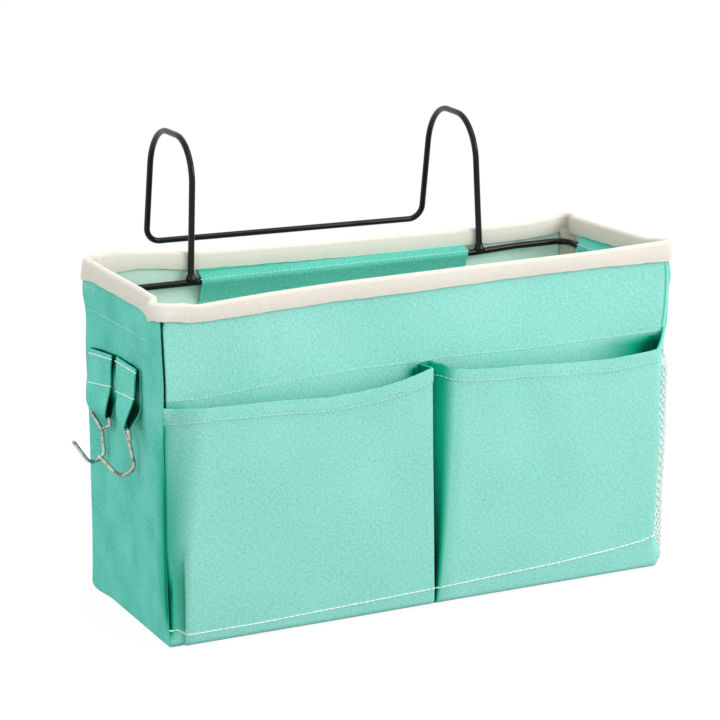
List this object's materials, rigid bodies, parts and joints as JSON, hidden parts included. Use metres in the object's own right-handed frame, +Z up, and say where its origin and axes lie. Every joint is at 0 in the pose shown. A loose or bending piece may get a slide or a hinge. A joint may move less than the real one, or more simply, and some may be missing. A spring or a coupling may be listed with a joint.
{
  "type": "bedside caddy",
  "caption": "Sewn cloth box caddy with pleated front pockets, a mesh side pocket and swinging side hooks, hung over a bed rail by a bent wire hanger.",
  "frame": {"origin": "middle of the underside of the bottom panel", "axes": "+X to the right seen from the front, +Y to the back where the hanger is, +Z up"},
  "size_m": [0.3537, 0.2044, 0.263],
  "materials": {
    "mint_cloth": "coated linen-look plain weave, matt",
    "cream_tape": "cotton twill tape, matt",
    "white_net": "knitted polyester mesh",
    "board": "plain board",
    "black_wire": "black paint, satin gloss",
    "plated_wire": "nickel plate, bright"
  },
  "bodies": {
    "caddy": {"back_panel": "mint_cloth", "back_wire_sleeve": "mint_cloth", "bottom_board": "board", "bottom_panel": "mint_cloth", "corner_binding_back_left": "cream_tape", "corner_binding_back_right": "cream_tape", "corner_binding_front_left": "cream_tape", "corner_binding_front_right": "cream_tape", "front_hook_tab": "mint_cloth", "front_panel": "mint_cloth", "front_pocket_cloth": "mint_cloth", "left_panel": "mint_cloth", "left_wire_sleeve": "mint_cloth", "mesh_pocket_elastic": "cream_tape", "mesh_pocket_net": "white_net", "rear_hook_tab": "mint_cloth", "right_panel": "mint_cloth", "right_wire_sleeve": "mint_cloth", "rim_binding": "cream_tape", "support_frame": "black_wire", "wire_hanger": "black_wire"},
    "rear_hook_body": {"rear_hook": "plated_wire"},
    "front_hook_body": {"front_hook": "plated_wire"}
  },
  "joints": [
    {"name": "rear_hook_swing", "type": "hinge", "parent": "caddy", "child": "rear_hook_body", "pos_m": [-0.1634, 0.0332, 0.113], "axis": [0, 1, 0], "range_deg": [0, 100]},
    {"name": "front_hook_swing", "type": "hinge", "parent": "caddy", "child": "front_hook_body", "pos_m": [-0.166, -0.0134, 0.118], "axis": [0.2419, 0.9703, 0], "range_deg": [0, 100]}
  ]
}
